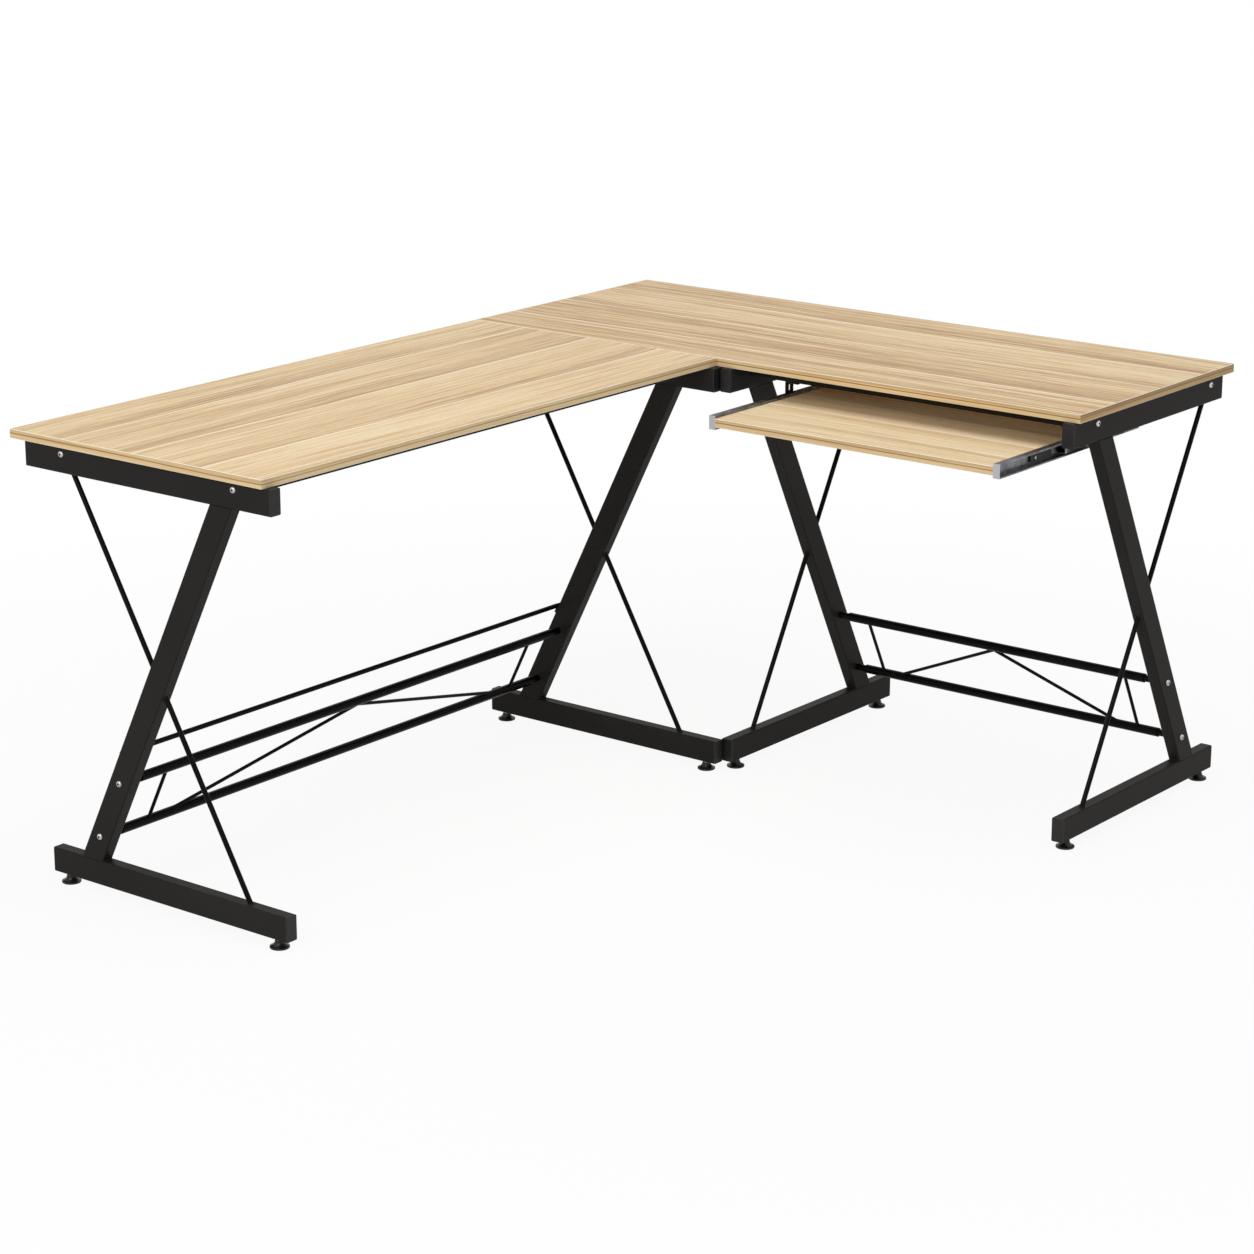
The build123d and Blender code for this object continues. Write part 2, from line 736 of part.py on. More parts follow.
with BuildPart() as tray_drillings:
    for side in slide_sides:
        for y in tray_screw_places:
            with BuildSketch(outward_plane(side, slide_wall, y)):
                Circle(tray_screw_diameter / 2 + thread_clearance)
            extrude(amount=-(tray_screw_length + thread_clearance))
with BuildPart() as tray_board:
    with BuildSketch(Plane.XY.offset(tray_bottom)):
        with Locations(tray_middle):
            Rectangle(tray_width - 2 * band_thickness, tray_depth - 2 * band_thickness)
    extrude(amount=board_thickness)
    add(tray_drillings.part, mode=Mode.SUBTRACT)
save(tray_board, "tray_board")
with BuildPart() as tray_band:
    with BuildSketch(Plane.XY.offset(tray_bottom)):
        with Locations(tray_middle):
            Rectangle(tray_width, tray_depth)
            Rectangle(tray_width - 2 * band_thickness, tray_depth - 2 * band_thickness, mode=Mode.SUBTRACT)
    extrude(amount=board_thickness)
    tray_top_face = tray_band.faces().sort_by(Axis.Z)[-1]
    tray_bottom_face = tray_band.faces().sort_by(Axis.Z)[0]
    fillet(tray_top_face.outer_wire().edges() + tray_bottom_face.outer_wire().edges(), band_rounding)
    add(tray_drillings.part, mode=Mode.SUBTRACT)
save(tray_band, "tray_edge_band")

# Slide channels on the tray ends: a lipped C of sheet steel, closed at the front
raceway = channel_height / 2 - slide_wall
for side in slide_sides:
    with BuildPart() as channel:
        with BuildSketch(slide_plane(side, tray_rear)):
            with Locations((channel_depth / 2, 0)):
                Rectangle(channel_depth, channel_height)
                Rectangle(channel_depth - 2 * slide_wall, 2 * raceway, mode=Mode.SUBTRACT)
            with Locations((channel_depth - slide_wall / 2, 0)):
                Rectangle(slide_wall, 2 * (raceway - slide_lip), mode=Mode.SUBTRACT)
        extrude(amount=tray_depth - slide_wall)
        with BuildSketch(slide_plane(side, tray_front + slide_wall)):
            with Locations((channel_depth / 2, 0)):
                Rectangle(channel_depth, channel_height)
        extrude(amount=slide_wall)
        add(tray_drillings.part, mode=Mode.SUBTRACT)
    save(channel, f"{side.name}_tray_channel")

# Screws through the channels into the tray ends
with BuildPart() as tray_screw:
    with BuildSketch():
        Circle(tray_screw_head_diameter / 2)
    extrude(amount=tray_screw_head_height)
    fillet(tray_screw.faces().sort_by(Axis.Z)[-1].edges(), tray_screw_head_height / 2)
    with BuildSketch():
        Circle(tray_screw_diameter / 2)
    extrude(amount=-tray_screw_length)
with BuildPart() as tray_screws:
    with Locations(*[outward_plane(side, slide_wall, y) for side in slide_sides for y in tray_screw_places]):
        add(tray_screw.part)
save(tray_screws, "tray_screws")

# Open-position stops in the channels, each with a small roller
stop_middle = tray_front + stop_front_inset + stop_length / 2
with BuildPart() as tray_stops:
    for side in slide_sides:
        with BuildSketch(outward_plane(side, slide_wall, stop_middle)):
            RectangleRounded(stop_length, stop_height, stop_rounding)
        extrude(amount=stop_thickness)
save(tray_stops, "tray_stops")
with BuildPart() as stop_rollers:
    for side in slide_sides:
        roller_middle = tray_front + stop_front_inset + roller_front_inset
        with BuildSketch(outward_plane(side, slide_wall + stop_thickness, roller_middle)):
            Circle(roller_diameter / 2)
        extrude(amount=roller_thickness)
save(stop_rollers, "stop_rollers")

# Fixed slide rails: a smaller C inside each channel, riveted to the hangers
slide_rail_inner = slide_thickness - slide_rail_depth
slide_rail_half = slide_rail_height / 2
for side in slide_sides:
    with BuildPart() as slide_rail:
        with BuildSketch(slide_plane(side, slide_rail_rear)):
            with Locations((slide_thickness - slide_rail_depth / 2, 0)):
                Rectangle(slide_rail_depth, slide_rail_height)
            with Locations((slide_rail_inner + slide_wall / 2, 0)):
                Rectangle(slide_wall, slide_rail_height + 2 * slide_lip)
            with Locations((slide_thickness - slide_wall - slide_rail_depth / 2, 0)):
                Rectangle(slide_rail_depth, slide_rail_height - 2 * slide_wall, mode=Mode.SUBTRACT)
        extrude(amount=slide_rail_rear - slide_rail_front)
        for y, top in hanger_places:
            with BuildSketch(outward_plane(side, slide_thickness, y)):
                Circle(rivet_diameter / 2 + thread_clearance)
            extrude(amount=-slide_wall, mode=Mode.SUBTRACT)
    save(slide_rail, f"{side.name}_slide_rail")

# Ball cages: one strip above and one below each rail, half way between the rail and the channel
ball_level = (slide_rail_half + raceway) / 2
ball_diameter = raceway - slide_rail_half - 2 * ball_raceway_clearance
ball_offset = (slide_rail_inner + channel_depth) / 2
least_overlap = tray_depth - slide_travel - slide_wall - slide_end_gap
cage_length = least_overlap - 2 * cage_end_gap
cage_middle = (slide_rail_front + tray_rear) / 2
ball_places = spread(cage_middle - cage_length / 2, cage_middle + cage_length / 2, balls_per_row)
with BuildPart() as ball_cages:
    for side in slide_sides:
        for level in (-ball_level, ball_level):
            strip_level = slide_level + level - cage_thickness / 2
            strip_x = side.edge + side.outward * ball_offset
            with BuildSketch(Plane.XY.offset(strip_level)):
                with Locations((strip_x, cage_middle)):
                    Rectangle(cage_width, cage_length)
                with Locations(*[(strip_x, y) for y in ball_places]):
                    Circle(ball_diameter / 2 + cage_hole_clearance, mode=Mode.SUBTRACT)
            extrude(amount=cage_thickness)
save(ball_cages, "ball_cages")
with BuildPart() as slide_balls:
    for side in slide_sides:
        ball_x = side.edge + side.outward * ball_offset
        for level in (-ball_level, ball_level):
            with Locations(*[(ball_x, y, slide_level + level) for y in ball_places]):
                Sphere(ball_diameter / 2)
save(slide_balls, "slide_balls")

# Hangers: slotted angles screwed to the front cross bar and the right board, carrying the slide rails
hanger_outer = slide_thickness + bracket_thickness
with BuildPart() as slide_hangers:
    for side in slide_sides:
        for y, top in hanger_places:
            turn = side.outward
            rise = top - slide_level
            with BuildSketch(slide_plane(side, y)):
                with BuildLine():
                    Polyline(
                        (hanger_outer, -turn * hanger_tail),
                        (hanger_outer, turn * rise),
                        (hanger_outer - hanger_flange, turn * rise),
                        (hanger_outer - hanger_flange, turn * (rise - bracket_thickness)),
                        (slide_thickness, turn * (rise - bracket_thickness)),
                        (slide_thickness, -turn * hanger_tail),
                        close=True,
                    )
                make_face()
            extrude(amount=hanger_width / 2, both=True)
            with BuildSketch(outward_plane(side, slide_thickness, y)):
                Circle(rivet_diameter / 2 + thread_clearance)
                with Locations((0, turn * (rise - hanger_slot_drop))):
                    SlotOverall(hanger_slot_length, hanger_slot_width, rotation=90)
            extrude(amount=bracket_thickness, mode=Mode.SUBTRACT)
    for point in hanger_screw_points:
        with BuildSketch(Plane.XY.offset(point.Z)):
            with Locations((point.X, point.Y)):
                Circle(screw_hole_radius)
        extrude(amount=bracket_thickness, mode=Mode.SUBTRACT)
save(slide_hangers, "slide_hangers")

# Rivets that hold the slide rails to the hangers
rivet_grip = slide_wall + bracket_thickness
with BuildPart() as rail_rivet:
    with BuildSketch():
        Circle(rivet_head_diameter / 2)
    extrude(amount=-rivet_head_height)
    with BuildSketch():
        Circle(rivet_diameter / 2)
    extrude(amount=rivet_grip)
    with BuildSketch(Plane.XY.offset(rivet_grip)):
        Circle(rivet_head_diameter / 2)
    extrude(amount=rivet_head_height)
with BuildPart() as rail_rivets:
    with Locations(
        *[
            outward_plane(side, slide_thickness - slide_wall, y)
            for side in slide_sides
            for y, top in hanger_places
        ]
    ):
        add(rail_rivet.part)
save(rail_rivets, "rail_rivets")
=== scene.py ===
import math

import bmesh
import bpy
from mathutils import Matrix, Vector


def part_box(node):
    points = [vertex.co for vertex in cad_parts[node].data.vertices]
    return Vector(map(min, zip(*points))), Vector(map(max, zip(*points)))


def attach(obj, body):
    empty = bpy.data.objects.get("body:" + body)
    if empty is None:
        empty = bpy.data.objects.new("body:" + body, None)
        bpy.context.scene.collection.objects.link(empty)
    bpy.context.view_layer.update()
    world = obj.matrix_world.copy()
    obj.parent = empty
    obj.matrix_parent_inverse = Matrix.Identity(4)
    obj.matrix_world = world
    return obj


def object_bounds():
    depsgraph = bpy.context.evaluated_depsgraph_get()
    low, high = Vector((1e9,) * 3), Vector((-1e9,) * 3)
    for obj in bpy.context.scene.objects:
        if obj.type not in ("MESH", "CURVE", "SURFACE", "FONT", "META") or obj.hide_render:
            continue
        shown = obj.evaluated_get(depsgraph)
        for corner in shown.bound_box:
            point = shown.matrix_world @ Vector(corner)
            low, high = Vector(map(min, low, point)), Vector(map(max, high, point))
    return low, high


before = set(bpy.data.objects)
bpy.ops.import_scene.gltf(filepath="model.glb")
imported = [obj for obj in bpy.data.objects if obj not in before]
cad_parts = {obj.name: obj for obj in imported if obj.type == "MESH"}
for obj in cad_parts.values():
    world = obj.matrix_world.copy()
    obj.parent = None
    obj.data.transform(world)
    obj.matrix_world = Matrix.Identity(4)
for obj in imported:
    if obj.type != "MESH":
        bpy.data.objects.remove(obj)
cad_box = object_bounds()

# Frames of the two wings
# Four Z-shaped frames of closed steel tube: a top rail, a foot rail and a leaning leg between them.
# The tubes are cut level, welded, ground flush and powder coated in satin black.
frame_names = ("left_end", "left_inner", "right_inner", "right_end")
coat_black = "282624"
coat_bloom = "322f2d"
coat_roughness = (0.36, 0.5)
coat_gloss = 0.05
haze_size = 0.22
haze_edge = (0.35, 0.75)
peel_size = 0.0016
peel_depth = 0.00012
peel_share = 0.3
speck_size = 0.00096
speck_edge = (0.68, 0.74)
speck_share = 0.45


def linear(code):
    """Turn a six-digit colour code into the linear colour that a socket takes."""
    parts = [int(code[i : i + 2], 16) / 255 for i in (0, 2, 4)]
    return (*[p / 12.92 if p <= 0.04045 else ((p + 0.055) / 1.055) ** 2.4 for p in parts], 1.0)


class Shade:
    """A socket in a material's tree: operators on it add Math nodes, node() adds any other node."""

    def __init__(self, tree, socket=None):
        self.tree = tree
        self.socket = socket

    def node(self, kind, settings=None, sockets=None, output=0):
        made = self.tree.nodes.new("ShaderNode" + kind)
        for name, value in (settings or {}).items():
            if name == "stops":
                ramp = made.color_ramp.elements
                while len(ramp) < len(value):
                    ramp.new(1.0)
                for stop, (place, colour) in zip(ramp, value):
                    stop.position = place
                    stop.color = colour
            else:
                setattr(made, name, value)
        for name, value in (sockets or {}).items():
            if isinstance(value, Shade):
                self.tree.links.new(value.socket, made.inputs[name])
            else:
                made.inputs[name].default_value = value
        return Shade(self.tree, made.outputs[output]) if made.outputs else None

    def maths(self, operation, *values):
        return self.node("Math", {"operation": operation}, dict(enumerate((self, *values))))

    def __add__(self, other):
        return self.maths("ADD", other)

    __radd__ = __add__

    def __sub__(self, other):
        return self.maths("SUBTRACT", other)

    def __rsub__(self, other):
        return self.node("Math", {"operation": "SUBTRACT"}, {0: other, 1: self})

    def __mul__(self, other):
        return self.maths("MULTIPLY", other)

    __rmul__ = __mul__

    def __truediv__(self, other):
        return self.maths("DIVIDE", other)

    def step(self, low, high):
        """A smooth climb from 0 to 1 as the value goes from low to high."""
        settings = {"interpolation_type": "SMOOTHSTEP"}
        return self.node("MapRange", settings, {"Value": self, "From Min": low, "From Max": high})

    def between(self, low, high):
        """The value 0 to 1 carried over to low to high."""
        return self * (high - low) + low

    def mixed(self, other, share):
        """This value mixed with another value, which takes the given share."""
        return self * (1 - share) + other * share

    def blend(self, first, second):
        """A colour between two colours, with this value as the share of the second."""
        settings = {"data_type": "RGBA"}
        return self.node("Mix", settings, {"Factor": self, 6: first, 7: second}, output=2)

    def axes(self):
        """The X, Y and Z of a place or a direction."""
        outputs = self.node("SeparateXYZ", sockets={0: self}).socket.node.outputs
        return [Shade(self.tree, axis) for axis in outputs]

    def noise(self, size, detail=2.0, roughness=0.5, seed=0.0):
        """Noise whose lumps are about size metres across, with this socket as the place."""
        sockets = {"Vector": self, "W": seed, "Scale": 1 / size, "Detail": detail, "Roughness": roughness}
        return self.node("TexNoise", {"noise_dimensions": "4D"}, sockets)

    def stretched(self, lengths):
        """The place divided by a length for each axis, so that noise on it is drawn out."""
        sockets = {0: self, 1: tuple(1 / length for length in lengths)}
        return self.node("VectorMath", {"operation": "MULTIPLY"}, sockets)


def new_material(name):
    """An empty material, and the place on its surface in metres."""
    material = bpy.data.materials.new(name)
    material.use_nodes = True
    material.node_tree.nodes.clear()
    return material, Shade(material.node_tree).node("TexCoord", output=3)


def close_material(material, sockets, height, depth):
    """Feed the surface shader, with a bump of the given depth in metres, and the output."""
    start = Shade(material.node_tree)
    bump = start.node("Bump", sockets={"Height": height, "Distance": depth, "Strength": 1.0})
    surface = start.node("BsdfPrincipled", sockets={**sockets, "Normal": bump})
    start.node("OutputMaterial", sockets={"Surface": surface})
    return material


def black_coat():
    """Powder coat with an orange peel, lighter specks, and a haze where the powder lies thicker."""
    material, place = new_material("satin_black_powder_coat")
    haze = place.noise(haze_size, detail=3.0)
    peel = place.noise(peel_size, detail=1.0)
    speck = place.noise(speck_size, seed=4.0).step(*speck_edge)
    bloom = haze.step(*haze_edge).mixed(speck, speck_share)
    sockets = {
        "Base Color": bloom.blend(linear(coat_black), linear(coat_bloom)),
        "Roughness": haze.mixed(peel, peel_share).between(*coat_roughness),
        "Specular IOR Level": coat_gloss,
    }
    return close_material(material, sockets, height=peel, depth=peel_depth)


def dress(material, *names):
    """Give the CAD nodes a finish."""
    for name in names:
        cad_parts[name].material_slots[0].material = material


coat = black_coat()
for name in frame_names:
    dress(coat, f"{name}_top_rail", f"{name}_foot_rail", f"{name}_leg")

# Brace rods
# Two lengths of drawn steel rod to each frame, one on each side of its leg.
# They are welded to the rails and to the leg, and coated with the frame.
rod_black = "0a0a0a"
rod_bloom = "141312"
rod_roughness = (0.2, 0.3)
rod_gloss = 0.06
rod_haze_size = haze_size / 3
rod_haze_edge = (0.4, 0.8)
rod_peel_depth = 0.00006
rod_peel_share = 0.4


def rod_coat():
    """The same powder on a rod, where it flows out thinner and smoother."""
    material, place = new_material("black_coated_rod")
    haze = place.noise(rod_haze_size, detail=3.0)
    peel = place.noise(peel_size, detail=1.0, seed=2.0)
    sockets = {
        "Base Color": haze.step(*rod_haze_edge).blend(linear(rod_black), linear(rod_bloom)),
        "Roughness": haze.mixed(peel, rod_peel_share).between(*rod_roughness),
        "Specular IOR Level": rod_gloss,
    }
    return close_material(material, sockets, height=peel, depth=rod_peel_depth)


rod_finish = rod_coat()
dress(rod_finish, *[f"{name}_brace_rods" for name in frame_names])

# Welds of the frames
# Each rod is welded all round where it meets a rail or a leg, each leg across its narrow sides.
# The beads are laid in short overlapping puddles, and are coated with the frame.
puddle_pitch = 0.0019
puddle_swell = 0.3
puddle_level = 0.6
least_puddles = 3
rod_bead = 0.0011
leg_bead = 0.0021
bead_step = 0.0004
bead_sides = 8
sharp_turn = math.radians(35)
same_point = 1e-6
same_level = 1e-4
weld_mesh = bmesh.new()


def rims(node):
    """The closed rows of points along the sharp ends of a CAD node's rods."""
    shape = bmesh.new()
    shape.from_mesh(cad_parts[node].data)
    bmesh.ops.remove_doubles(shape, verts=shape.verts, dist=same_point)
    sharp = [edge for edge in shape.edges if edge.is_manifold and edge.calc_face_angle() > sharp_turn]
    waiting = dict.fromkeys(sharp)
    loops = []
    while waiting:
        edge = waiting.popitem()[0]
        loop = list(edge.verts)
        while step := next((e for e in loop[-1].link_edges if e in waiting), None):
            del waiting[step]
            loop.append(step.other_vert(loop[-1]))
        loops.append([vert.co.copy() for vert in loop[:-1]])
    shape.free()
    return loops


def resampled(path, step):
    """Points at even steps along a row of points."""
    points = [path[0]]
    for start, end in zip(path, path[1:]):
        count = max(1, round((end - start).length / step))
        points += [start.lerp(end, (i + 1) / count) for i in range(count)]
    return points


def lay_bead(path, centre, radius, closed):
    """Sweep a rippled bead along a row of points; its rings are turned away from the centre."""
    spots = resampled([*path, path[0]], bead_step)[:-1] if closed else resampled(path, bead_step)
    last = len(spots) - 1
    puddles = max(least_puddles, round(len(spots) * bead_step / puddle_pitch))
    turns = [2 * math.pi * k / bead_sides for k in range(bead_sides)]
    rings = []
    for i, spot in enumerate(spots):
        ahead = spots[(i + 1) % len(spots)] if closed else spots[min(i + 1, last)]
        behind = spots[i - 1] if closed else spots[max(i - 1, 0)]
        along = (ahead - behind).normalized()
        outward = spot - centre
        outward = (outward - along * outward.dot(along)).normalized()
        across = along.cross(outward)
        ripple = abs(math.sin(math.pi * puddles * i / len(spots))) - puddle_level
        reach = radius * (1 + puddle_swell * ripple)
        if not closed:
            to_end = (min(i, last - i) + 0.5) * bead_step
            reach *= min(1.0, to_end / radius) ** 0.5
        ring = [spot + (outward * math.cos(turn) + across * math.sin(turn)) * reach for turn in turns]
        rings.append([weld_mesh.verts.new(point) for point in ring])
    for first, second in zip(rings, rings[1:] + rings[:1] if closed else rings[1:]):
        for k in range(bead_sides):
            weld_mesh.faces.new((first[k], first[k - 1], second[k - 1], second[k]))
    if not closed:
        weld_mesh.faces.new(rings[0])
        weld_mesh.faces.new(rings[-1][::-1])


def level_span(node, level, axis):
    """How far a CAD node reaches along an axis at one level."""
    reach = [v.co[axis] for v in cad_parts[node].data.vertices if abs(v.co.z - level) < same_level]
    return min(reach), max(reach)


def finished_piece(name, shape, material, body, smooth=True):
    """Turn a mesh in the making into a piece that rides on a body."""
    bmesh.ops.recalc_face_normals(shape, faces=shape.faces)
    mesh = bpy.data.meshes.new(name)
    shape.to_mesh(mesh)
    shape.free()
    mesh.materials.append(material)
    mesh.polygons.foreach_set("use_smooth", [smooth] * len(mesh.polygons))
    piece = bpy.data.objects.new(name, mesh)
    bpy.context.scene.collection.objects.link(piece)
    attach(piece, body)


for name in frame_names:
    for loop in rims(f"{name}_brace_rods"):
        lay_bead(loop, sum(loop, Vector()) / len(loop), rod_bead, closed=True)
    axis = 0 if name.startswith("left") else 1
    leg_low, leg_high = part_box(f"{name}_leg")
    for level in (leg_low.z, leg_high.z):
        span = level_span(f"{name}_leg", level, axis)
        for reach in span:
            ends = []
            for side in (leg_low[1 - axis] + leg_bead, leg_high[1 - axis] - leg_bead):
                end = Vector((0.0, 0.0, level))
                end[axis] = reach
                end[1 - axis] = side
                ends.append(end)
            centre = (ends[0] + ends[1]) / 2
            centre[axis] = sum(span) / 2
            lay_bead(ends, centre, leg_bead, closed=False)
finished_piece("frame_welds", weld_mesh, coat, "frame")

# Rail caps
# Moulded plastic plugs that close the eight rails at both ends.
# A fine spark-eroded grain covers the plate, and the plug grips inside the tube.
moulding_black = "171716"
moulding_sheen = "262625"
moulding_gloss = 0.3
moulding_edge = (0.3, 0.8)
cloud_spread = 30
cloud_tone_share = 0.5
cloud_dull_share = 0.4
cap_grain = 0.0007
cap_roughness = (0.42, 0.58)
cap_depth = 0.00008


def moulded_black(name, grain_size, roughness, depth):
    """Black moulded plastic with a fine grain and slow changes of sheen."""
    material, place = new_material(name)
    grain = place.noise(grain_size, roughness=0.6)
    cloud = place.noise(grain_size * cloud_spread, seed=7.0)
    sheen = grain.mixed(cloud, cloud_tone_share).step(*moulding_edge)
    sockets = {
        "Base Color": sheen.blend(linear(moulding_black), linear(moulding_sheen)),
        "Roughness": grain.mixed(cloud, cloud_dull_share).between(*roughness),
        "Specular IOR Level": moulding_gloss,
    }
    return close_material(material, sockets, height=grain, depth=depth)


dress(moulded_black("black_cap_plastic", cap_grain, cap_roughness, cap_depth), "rail_caps", "tray_stops")

# Levelling feet
# A glossy moulded pad on a threaded stud, screwed into an insert in each end of a foot rail.
# The stud is zinc-plated, and its thread shows in the gap between the pad's collar and the rail.
feet = [f"{name}_{end}_foot" for name in frame_names for end in ("rear", "front")]
foot_grain = 0.0012
foot_roughness = (0.2, 0.34)
foot_depth = 0.00003
collar_top = 0.012
thread_root = 0.00402
thread_crest = 0.00448
thread_sunk_end = 0.96
thread_pitch = 0.00125
thread_rows = 8
thread_sides = 40
thread_crest_rise = 1.6
thread_flank_slope = 4.4
zinc_dark = "9a9da2"
zinc_light = "d0d3d7"
zinc_grain = (0.0006, 0.0006, 0.0006)
zinc_roughness = (0.22, 0.4)
zinc_edge = (0.35, 0.65)
zinc_cloud = 0.012
zinc_tone_share = 0.6
zinc_dull_share = 0.5
zinc_depth = 0.00002
cut_zinc = "b9bbbe"
cut_width = (0.001, 0.0022)


def thread_height(share):
    """How far a thread has risen from root to crest, over one pitch."""
    return max(0.0, min(1.0, thread_crest_rise - abs(share - 0.5) * thread_flank_slope))


def stud_thread(foot):
    """A helical ridge on the part of a foot's stud that shows under the rail."""
    low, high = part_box(foot)
    centre = (low + high) / 2
    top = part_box(foot.rsplit("_", 2)[0] + "_foot_rail")[0].z
    rows = round((top - collar_top) / thread_pitch * thread_rows)
    shape = bmesh.new()
    rings = []
    for row in range(-1, rows + 2):
        rise = collar_top + (top - collar_top) * min(max(row, 0), rows) / rows
        ring = []
        for k in range(thread_sides):
            share = ((rise - collar_top) / thread_pitch - k / thread_sides) % 1.0
            radius = thread_root + (thread_crest - thread_root) * thread_height(share)
            radius = radius if 0 <= row <= rows else thread_root * thread_sunk_end
            angle = 2 * math.pi * k / thread_sides
            place = (centre.x + radius * math.cos(angle), centre.y + radius * math.sin(angle), rise)
            ring.append(shape.verts.new(place))
        rings.append(ring)
    for first, second in zip(rings, rings[1:]):
        for k in range(thread_sides):
            shape.faces.new((first[k - 1], first[k], second[k], second[k - 1]))
    return shape


def zinc_plate(name, dark, light, grain, roughness, bright_end=None):
    """Zinc-plated steel; bright_end is the Y of a front end that was cut or bent after rolling."""
    material, place = new_material(name)
    turned = place.stretched(grain).noise(1.0, detail=3.0)
    cloud = place.noise(zinc_cloud, detail=3.0, seed=3.0)
    tone = turned.mixed(cloud, zinc_tone_share).step(*zinc_edge)
    colour = tone.blend(linear(dark), linear(light))
    if bright_end is not None:
        inward = place.axes()[1] - bright_end
        colour = inward.step(*cut_width).blend(linear(cut_zinc), colour)
    sockets = {
        "Base Color": colour,
        "Roughness": turned.mixed(cloud, zinc_dull_share).between(*roughness),
        "Metallic": 1.0,
    }
    return close_material(material, sockets, height=turned, depth=zinc_depth)


dress(moulded_black("black_foot_plastic", foot_grain, foot_roughness, foot_depth), *feet)
plated = zinc_plate("bright_zinc_plate", zinc_dark, zinc_light, zinc_grain, zinc_roughness)
for foot in feet:
    finished_piece(f"{foot}_thread", stud_thread(foot), plated, f"{foot}_body")

# Stretchers and their trusses
# Round tubes between the legs with necked plugs in their ends, joined by thin rods welded between them.
# A thin rod behind the left legs is welded to two small flat pads.
dress(
    rod_finish,
    "left_upper_stretcher",
    "left_lower_stretcher",
    "right_upper_stretcher",
    "right_lower_stretcher",
    "stretcher_plugs",
    "left_truss_rods",
    "right_truss_rods",
    "left_rear_rod",
)

# Cross bars and brackets
# Square steel bars bolted between the top rails, sheet brackets along the seam and slotted tray hangers.
# All are bent or cut from coated steel, and hold the boards from below.
dress(
    coat,
    "left_rear_crossbar",
    "left_front_crossbar",
    "right_rear_crossbar",
    "right_front_crossbar",
    "seam_brackets",
    "slide_hangers",
)

# Bolts, screws and inserts
# Zinc-plated button-head bolts with a hexagon socket, pan-head screws, rivets and threaded inserts.
# Plating leaves them bright, with fine turning marks, and a dark plug of painted shade lies in each bolt's
# socket.
dress(plated, "frame_bolts", "crossbar_screws", "bracket_screws", "foot_inserts", "bar_plugs")
dress(plated, "rail_rivets", "tray_screws")
socket_radius = 0.00196
socket_floor = 0.00175
socket_fill = 0.0007
socket_dish = 0.0004
socket_sides = 24
# Colours of the painted shade that darkens each bolt's socket.
socket_shade_black = "0d0d0d"
socket_shade_brown = "1b1916"
socket_shade_edge = (0.35, 0.65)
socket_shade_roughness = (0.45, 0.7)
socket_shade_gloss = 0.2
socket_shade_mottle_size = 0.0009
socket_shade_depth = 0.00004


def solids(node):
    """The lowest and highest corner of each separate solid in a CAD node."""
    shape = bmesh.new()
    shape.from_mesh(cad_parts[node].data)
    bmesh.ops.remove_doubles(shape, verts=shape.verts, dist=same_point)
    waiting = dict.fromkeys(shape.verts)
    boxes = []
    while waiting:
        reached = [waiting.popitem()[0]]
        for vert in reached:
            for neighbour in [edge.other_vert(vert) for edge in vert.link_edges]:
                if neighbour in waiting:
                    del waiting[neighbour]
                    reached.append(neighbour)
        boxes.append([Vector([limit(v.co[i] for v in reached) for i in range(3)]) for limit in (min, max)])
    shape.free()
    return boxes


def painted_socket_shade():
    """Painted shade at the bottom of a bolt's socket: a dark mottled fill that stands in for the recess's
    shadow.
    """
    material, place = new_material("painted_shade_socket_recess")
    shade_mottle = place.noise(socket_shade_mottle_size, detail=3.0)
    sockets = {
        "Base Color": shade_mottle.step(*socket_shade_edge).blend(linear(socket_shade_black), linear(socket_shade_brown)),
        "Roughness": shade_mottle.between(*socket_shade_roughness),
        "Specular IOR Level": socket_shade_gloss,
    }
    return close_material(material, sockets, height=shade_mottle, depth=socket_shade_depth)


def fill_socket(shape, axis, head, outward, middle):
    """A dished plug of painted shade in a bolt's socket, below the face of its head."""
    rim = socket_floor - socket_fill
    rings = []
    for depth, radius in (
        (socket_floor, socket_radius),
        (rim, socket_radius),
        (rim + socket_dish / 2, socket_radius / 2),
        (rim + socket_dish, socket_radius / 12),
    ):
        ring = []
        for k in range(socket_sides):
            angle = 2 * math.pi * k / socket_sides
            place = middle.copy()
            place[axis] = head - outward * depth
            place[1 - axis] += radius * math.cos(angle)
            place.z += radius * math.sin(angle)
            ring.append(shape.verts.new(place))
        rings.append(ring)
    for first, second in zip(rings, rings[1:]):
        for k in range(socket_sides):
            shape.faces.new((first[k - 1], first[k], second[k], second[k - 1]))
    shape.faces.new(rings[0])
    shape.faces.new(rings[-1])


# Each bolt's socket gets a dark plug of painted shade.
socket_mesh = bmesh.new()
bolts = solids("frame_bolts")
for axis in (0, 1):
    row = [(low, high) for low, high in bolts if (high - low)[axis] > (high - low).z]
    wing_middle = (min(low[axis] for low, high in row) + max(high[axis] for low, high in row)) / 2
    for low, high in row:
        middle = (low + high) / 2
        outward = 1.0 if middle[axis] > wing_middle else -1.0
        fill_socket(socket_mesh, axis, (high if outward > 0 else low)[axis], outward, middle)
finished_piece("bolt_recesses", socket_mesh, painted_socket_shade(), "frame")

